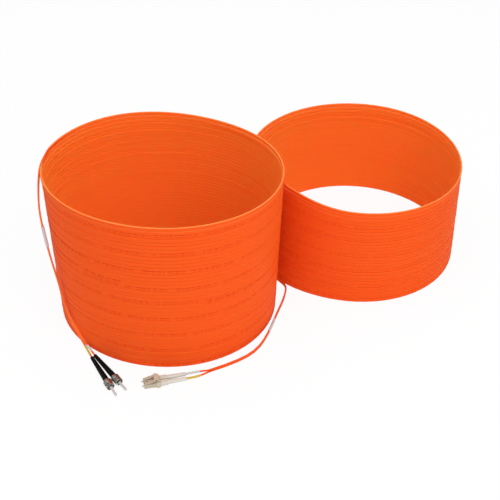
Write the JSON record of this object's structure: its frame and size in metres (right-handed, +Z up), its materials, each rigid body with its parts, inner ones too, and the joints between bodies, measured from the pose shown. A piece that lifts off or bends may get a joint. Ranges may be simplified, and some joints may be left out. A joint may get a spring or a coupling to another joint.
{
  "type": "fibre patch cord",
  "caption": "Duplex fibre patch cord wound into standing coils, with bayonet plugs on one end and clipped latch plugs on the other, for linking network equipment.",
  "frame": {"origin": "on the floor, under the middle of the whole object's box", "axes": "+Z up; +X along the line of the two coils as seen in the picture, to its right; +Y away from the viewer, so the plugs lie at the -Y side"},
  "size_m": [0.4436, 0.368, 0.1778],
  "materials": {
    "orange_jacket": "semi-matt jacket",
    "label_white": "matt",
    "marker_yellow": "matt",
    "marker_white": "matt",
    "black_boot": "satin",
    "white_boot": "satin",
    "beige_housing": "satin",
    "plated_nut": "bright nickel plate",
    "plated_brass": "nickel plate",
    "spring_steel": "satin",
    "ceramic": "polished"
  },
  "bodies": {
    "cord": {"front_coil": "orange_jacket", "back_coil": "orange_jacket", "crossover_cord": "orange_jacket", "bayonet_tail_cord": "orange_jacket", "latch_tail_cord": "orange_jacket", "bayonet_label_sleeve": "label_white", "latch_label_sleeve": "label_white", "bayonet_a_leg": "orange_jacket", "bayonet_a_sleeve": "marker_yellow", "latch_a_leg": "orange_jacket", "latch_a_sleeve": "marker_yellow", "bayonet_b_leg": "orange_jacket", "bayonet_b_sleeve": "marker_white", "latch_b_leg": "orange_jacket", "latch_b_sleeve": "marker_white", "bayonet_a_boot": "black_boot", "bayonet_a_crimp_sleeve": "plated_brass", "bayonet_a_body": "plated_brass", "bayonet_a_retaining_ring": "spring_steel", "bayonet_a_spring": "spring_steel", "bayonet_a_ferrule": "ceramic", "bayonet_b_boot": "black_boot", "bayonet_b_crimp_sleeve": "plated_brass", "bayonet_b_body": "plated_brass", "bayonet_b_retaining_ring": "spring_steel", "bayonet_b_spring": "spring_steel", "bayonet_b_ferrule": "ceramic", "latch_a_boot": "white_boot", "latch_a_crimp_ring": "plated_brass", "latch_a_backbone": "beige_housing", "latch_a_housing": "beige_housing", "latch_a_spring": "spring_steel", "latch_b_boot": "white_boot", "latch_b_crimp_ring": "plated_brass", "latch_b_backbone": "beige_housing", "latch_b_housing": "beige_housing", "latch_b_spring": "spring_steel", "duplex_clip": "beige_housing"},
    "bayonet_a_slider": {"bayonet_a_thrust_washer": "spring_steel"},
    "bayonet_a_nut": {"bayonet_a_nut": "plated_nut"},
    "bayonet_b_slider": {"bayonet_b_thrust_washer": "spring_steel"},
    "bayonet_b_nut": {"bayonet_b_nut": "plated_nut"},
    "latch_a_ferrule": {"latch_a_ferrule": "ceramic", "latch_a_collet": "plated_brass"},
    "latch_a_lever": {"latch_a_lever": "beige_housing"},
    "latch_b_ferrule": {"latch_b_ferrule": "ceramic", "latch_b_collet": "plated_brass"},
    "latch_b_lever": {"latch_b_lever": "beige_housing"},
    "trigger": {"clip_trigger": "beige_housing"}
  },
  "joints": [
    {"name": "bayonet_a_nut_push", "type": "slide", "parent": "cord", "child": "bayonet_a_slider", "axis": [0.5129, -0.857, 0.0489], "range_m": [0, 0.0025], "stiffness_N_per_m": 2000, "springref_m": -0.001, "deforming": ["bayonet_a_spring"]},
    {"name": "bayonet_a_nut_turn", "type": "hinge", "parent": "bayonet_a_slider", "child": "bayonet_a_nut", "pos_m": [-0.15411, -0.16778, 0.0044], "axis": [0.5129, -0.857, 0.0489], "continuous": true},
    {"name": "bayonet_b_nut_push", "type": "slide", "parent": "cord", "child": "bayonet_b_slider", "axis": [0.6122, -0.7892, 0.0488], "range_m": [0, 0.0025], "stiffness_N_per_m": 2000, "springref_m": -0.001, "deforming": ["bayonet_b_spring"]},
    {"name": "bayonet_b_nut_turn", "type": "hinge", "parent": "bayonet_b_slider", "child": "bayonet_b_nut", "pos_m": [-0.14716, -0.16193, 0.0044], "axis": [0.6122, -0.7892, 0.0488], "continuous": true},
    {"name": "latch_a_ferrule_push", "type": "slide", "parent": "cord", "child": "latch_a_ferrule", "axis": [0.969, 0.247, 0], "range_m": [0, 0.001], "stiffness_N_per_m": 4000, "springref_m": -0.001, "deforming": ["latch_a_spring"]},
    {"name": "latch_a_lever_press", "type": "hinge", "parent": "cord", "child": "latch_a_lever", "pos_m": [-0.11791, -0.16913, 0.00615], "axis": [-0.247, 0.969, 0], "range_deg": [0, 6]},
    {"name": "latch_b_ferrule_push", "type": "slide", "parent": "cord", "child": "latch_b_ferrule", "axis": [0.969, 0.247, 0], "range_m": [0, 0.001], "stiffness_N_per_m": 4000, "springref_m": -0.001, "deforming": ["latch_b_spring"]},
    {"name": "latch_b_lever_press", "type": "hinge", "parent": "cord", "child": "latch_b_lever", "pos_m": [-0.11946, -0.16307, 0.00615], "axis": [-0.247, 0.969, 0], "range_deg": [0, 6]},
    {"name": "clip_trigger_press", "type": "hinge", "parent": "cord", "child": "trigger", "pos_m": [-0.10541, -0.16271, 0.00705], "axis": [0.247, -0.969, 0], "range_deg": [0, 12], "stiffness_Nm_per_rad": 0.005}
  ],
  "couplings": [
    {"joint": "latch_a_lever_press", "follows": "clip_trigger_press", "ratio": 0.42},
    {"joint": "latch_b_lever_press", "follows": "clip_trigger_press", "ratio": 0.42}
  ]
}
